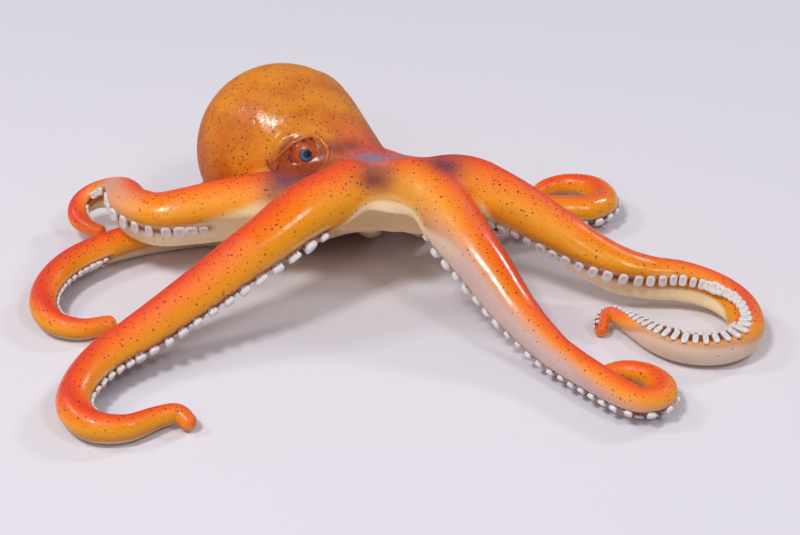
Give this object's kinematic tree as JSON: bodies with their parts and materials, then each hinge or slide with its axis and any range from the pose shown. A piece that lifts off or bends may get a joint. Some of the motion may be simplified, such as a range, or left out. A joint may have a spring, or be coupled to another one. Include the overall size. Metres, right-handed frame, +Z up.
{
  "type": "octopus figurine",
  "caption": "Glossy painted octopus figurine: round mantle with lidded eyes, arms that spread and curl round it on the table, and raised white suckers along each arm.",
  "frame": {"origin": "middle of the footprint's bounding box, on the table", "axes": "+X along the longest extent, toward the right arms; +Y toward the mantle at the back; +Z up from the table"},
  "size_m": [0.2001, 0.1622, 0.0479],
  "materials": {
    "painted_skin": "airbrushed red orange to cream under a gloss varnish",
    "crown_skin": "airbrushed maroon and orange under a gloss varnish",
    "white_suckers": "brush painted white under varnish",
    "glossy_eye": "high gloss"
  },
  "bodies": {
    "root": {"mantle": "painted_skin", "crown": "crown_skin", "front_left_arm": "painted_skin", "front_right_arm": "painted_skin", "right_arm": "painted_skin", "rear_right_arm": "painted_skin", "rear_outer_arm": "painted_skin", "rear_inner_arm": "painted_skin", "low_left_arm": "painted_skin", "left_arm": "painted_skin", "front_left_suckers": "white_suckers", "front_right_suckers": "white_suckers", "right_suckers": "white_suckers", "rear_right_suckers": "white_suckers", "rear_outer_suckers": "white_suckers", "rear_inner_suckers": "white_suckers", "low_left_suckers": "white_suckers", "left_suckers": "white_suckers", "left_eye": "glossy_eye", "right_eye": "glossy_eye"}
  },
  "joints": []
}
